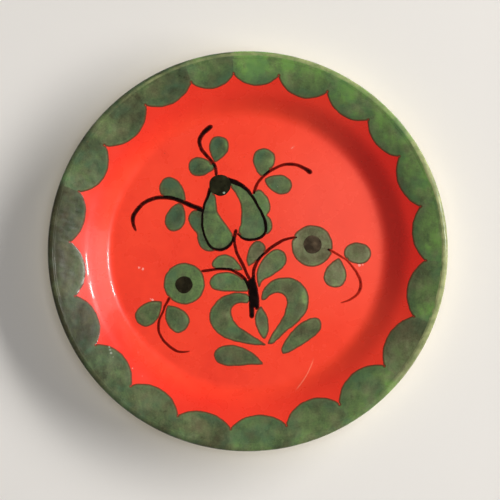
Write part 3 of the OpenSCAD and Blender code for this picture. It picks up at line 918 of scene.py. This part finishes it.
# Lighter and darker places of the spray: x, y, reach, and how much. Some are painted highlights of the
# paint's raised edge, such as the strip near x 35 on the right heart scroll and the place at 53, -17
SPRAY_TONES_AND_HIGHLIGHTS = [(-24.2, 54, 2.5, 0.4), (-13.5, 66.5, 2, 0.4), (15.2, 56, 2.5, 0.55),
               (-43.5, 38.5, 3, 0.12), (-38.5, -43, 2.5, 0.25), (-16, 15, 6, 0.12),
               (-21, 19.5, 4, 0.08), (-25.5, 14.5, 3, -0.1), (-22, 30, 4, 0.1),
               (-30.5, -18, 6, 0.22), (-40, -30.5, 4, -0.05), (-13, -39.5, 1.8, 0.3),
               (-11.5, -42, 1.8, 0.3), (-9.5, -45.5, 1.8, 0.25), (21.5, -46, 6, -0.1),
               (35, -25.5, 1.6, 0.4), (35.2, -28.5, 1.6, 0.4), (35.6, -32, 1.6, 0.4),
               (49, 5, 5, 0.12), (39, 14, 3, -0.1), (53, -17, 3, 0.2), (-4.8, -52.5, 5, -0.05)]
# Where the left petal was gone over twice, a dark line is left: its y, width and strength
OVERLAP_Y, OVERLAP_WIDTH, OVERLAP_TONE = 24.5, 1.0, -0.3
# How thin and red the dark strokes lie, in mm of their edge, where it isn't OTHER_THINNESS
STROKE_THINNESS = {"tendril_top": 0.35, "tendril_left": 0.35, "tendril_right": 0.5,
                   "tendril_low_left": 0.55, "tendril_low_right": 0.75,
                   "tulip_outline": 0.08, "stem": 0.3}
OTHER_THINNESS = 0.1
# Colours of the strokes, thick and thin, and of the dark discs
STROKE_COLOUR = (18, 6, 5)
THIN_STROKE_COLOUR = (110, 14, 6)
EYES = {"flower_left_eye": (36, 32, 20), "flower_right_eye": (68, 57, 44), "tulip_cap": (34, 34, 20)}
# How far the green bleeds out beyond its outline
BLEED = 0.6
# Half the angle of a border dab, and over what angle one runs into the next, in radians
DAB_HALF = 0.15
DAB_BLEND = 0.025
# Between these radii a dab's tone changes from its inner side's to its outer side's
DAB_INNER_R, DAB_OUTER_R = 103, 121


def middle_of(loop):
    """Azimuth of the middle of an outline."""
    return math.atan2(loop[:, 1].mean(), loop[:, 0].mean())


DAB_MIDDLES = np.array([middle_of(drawn[f"scallop_{i + 1:02d}"][0]) for i in range(len(DAB_PAINT))])


def turn_from(index, x, y):
    """Angle of each place from the middle of a dab, anticlockwise."""
    return (np.arctan2(y, x) - DAB_MIDDLES[index] + math.pi) % (2 * math.pi) - math.pi


def dab_tone(index, x, y):
    """Tone of a border dab by itself: it changes from end to end and from the inside out."""
    first, last, gain, _ = DAB_PAINT[index]
    share = np.clip(turn_from(index, x, y) / DAB_HALF * 0.5 + 0.5, 0, 1)
    share = share * share * (3 - 2 * share)
    outer = np.clip((np.hypot(x, y) - DAB_INNER_R) / (DAB_OUTER_R - DAB_INNER_R), 0, 1)
    return last + (first - last) * share + gain * (outer - 0.5)


def border_paint(x, y):
    """Tone and brown of the border all round, where each dab runs a little into the next."""
    indexes = range(len(DAB_PAINT))
    turns = np.array([np.abs(turn_from(i, x, y)) for i in indexes])
    weights = np.exp(-(turns - turns.min(axis=0)) / DAB_BLEND)
    weights /= weights.sum(axis=0)
    tones = np.array([dab_tone(i, x, y) for i in indexes])
    browns = np.array([row[3] for row in DAB_PAINT])
    return np.sum(weights * tones, axis=0), browns @ weights


def blended_dab(index):
    """Tone of a painted dab, halfway between its own and that of the border all round."""
    return lambda x, y: (dab_tone(index, x, y) + border_paint(x, y)[0]) / 2


def spray_tone(node):
    """Tone of a painted patch: one level for each, with lighter and darker places, some of them painted
    highlights.
    """
    def tone(x, y):
        total = np.full(len(x), SPRAY_PAINT[node][0])
        if node == "tulip_petal_left":
            total += OVERLAP_TONE * np.exp(-((y - OVERLAP_Y) / OVERLAP_WIDTH) ** 2)
        for at_x, at_y, reach, amount in SPRAY_TONES_AND_HIGHLIGHTS:
            total += amount * np.exp(-((x - at_x) ** 2 + (y - at_y) ** 2) / reach ** 2)
        return total

    return tone


def stroke_tone(node):
    """How thin and red a dark stroke lies, the same all over it."""
    thinness = STROKE_THINNESS.get(node, OTHER_THINNESS)
    return lambda x, y: np.full(len(x), thinness)


green = green_enamel()
black = black_enamel("black_enamel", STROKE_COLOUR, THIN_STROKE_COLOUR)
for name in paint_nodes:
    slot = slot_of[name]
    if name.startswith("scallop_"):
        index = int(name[-2:]) - 1
        made = enamel(name, slot, height=0.14, edge_width=0.8, bleed=BLEED, tuck=0.0,
                      tone=blended_dab(index), brown=DAB_PAINT[index][3])
        finish = green
    elif name in EYES:
        made = enamel(name, slot, height=0.16, edge_width=0.6, bleed=0.0, tuck=0.0, tone=stroke_tone(name))
        finish = black_enamel(name, EYES[name], [c * 0.55 for c in EYES[name]])
    elif slot == "black_enamel":
        made = enamel(name, slot, height=0.15, edge_width=0.5, bleed=0.2, tuck=0.0, tone=stroke_tone(name))
        finish = black
    else:
        made = enamel(name, slot, height=0.12, edge_width=0.9, bleed=BLEED, tuck=0.3,
                      tone=spray_tone(name), brown=SPRAY_PAINT[name][1])
        finish = green
    made.data.materials.append(finish)

face_coat(red_glaze())
lip_coat(lip_glaze())
back = back_glaze()
back_coat(back)
base_coat(back)
clay = bare_clay()
foot(clay)
body = frame["nodes"]["clay_body"]
body.data.materials.clear()
body.data.materials.append(clay)

# --- Floor, light and camera -------------------------------------------------


def floor():
    """A plain pale floor, which lets the underside be seen and lit from below."""
    half = 3.0
    corners = [(-half, -half, 0), (half, -half, 0), (half, half, 0), (-half, half, 0)]
    mesh = bpy.data.meshes.new("floor")
    mesh.from_pydata(corners, [], [(0, 1, 2, 3)])
    obj = bpy.data.objects.new("floor", mesh)
    bpy.context.scene.collection.objects.link(obj)
    f = Finish("floor", 0.8, specular=0.1)
    tree = f.tree
    colour = f.mix(f.noise(400, 2), srgb(228, 226, 223), srgb(234, 232, 229))
    material = f.finish(colour)
    below = tree.nodes.new("ShaderNodeNewGeometry").outputs["Backfacing"]
    to_lamp = tree.nodes.new("ShaderNodeLightPath").outputs["Is Shadow Ray"]
    clear = tree.nodes.new("ShaderNodeBsdfTransparent").outputs[0]
    seen = tree.nodes.new("ShaderNodeMixShader")
    tree.links.new(f.math("MAXIMUM", below, to_lamp), seen.inputs[0])
    tree.links.new(f.shader.outputs[0], seen.inputs[1])
    tree.links.new(clear, seen.inputs[2])
    tree.links.new(seen.outputs[0], tree.nodes["Material Output"].inputs["Surface"])
    mesh.materials.append(material)


def lamp(name, azimuth, elevation, away, width, height, power, colour=(1, 1, 1), mirrored=False):
    """A soft panel that faces the plate, at an azimuth anticlockwise from +X.

    One that is mirrored is only seen in the plate's gloss, and the others only light it."""
    data = bpy.data.lights.new(name, "AREA")
    data.shape = "RECTANGLE"
    data.size = width
    data.size_y = height
    data.energy = power
    data.color = colour
    obj = bpy.data.objects.new(name, data)
    a, e = math.radians(azimuth), math.radians(elevation)
    direction = Vector((math.cos(a) * math.cos(e), math.sin(a) * math.cos(e), math.sin(e)))
    obj.location = direction * away
    obj.rotation_mode = "QUATERNION"
    obj.rotation_quaternion = direction.to_track_quat("Z", "Y")
    obj.visible_glossy = mirrored
    obj.visible_diffuse = not mirrored
    obj.visible_camera = False
    bpy.context.scene.collection.objects.link(obj)


def world(colour, strength):
    """Even light from all around."""
    made = bpy.data.worlds.new("studio")
    made.use_nodes = True
    background = made.node_tree.nodes["Background"]
    background.inputs[0].default_value = colour
    background.inputs[1].default_value = strength
    bpy.context.scene.world = made


def camera():
    """Straight above the plate, far enough off to show it nearly without perspective."""
    view_w, off_x, off_y, away = 0.3122, 1.4 * MM, 0.8 * MM, 6.0
    rim_z = cad_box[1].z
    data = bpy.data.cameras.new("camera")
    data.sensor_width = 36
    data.lens = data.sensor_width * away / view_w
    data.clip_end = 50
    obj = bpy.data.objects.new("camera", data)
    obj.location = (off_x, off_y, rim_z + away)
    bpy.context.scene.collection.objects.link(obj)
    bpy.context.scene.camera = obj


floor()
world((1.0, 0.98, 0.96, 1.0), 0.13)
WARM, SOFT = (1.0, 0.97, 0.93), (1.0, 0.98, 0.96)
lamp("key", azimuth=16, elevation=25, away=3.5, width=4.0, height=0.8, power=211, colour=WARM)
lamp("fill", azimuth=18, elevation=88, away=8.0, width=4.0, height=4.0, power=160, colour=SOFT)
lamp("under", azimuth=0, elevation=-75, away=3.0, width=2.0, height=2.0, power=48, colour=SOFT)
# The sheen lies on the left wall. Each window makes a glint on the wall's shoulder and in its cove.
lamp("sheen", azimuth=8, elevation=32, away=1.3, width=0.6, height=0.8, power=3.2, mirrored=True)
for name, azimuth in (("window_a", 4.3), ("window_b", 14.2)):
    lamp(name, azimuth, elevation=57, away=1.3, width=0.08, height=0.1, power=1.7, mirrored=True)
camera()
bpy.context.scene.view_settings.view_transform = "Standard"
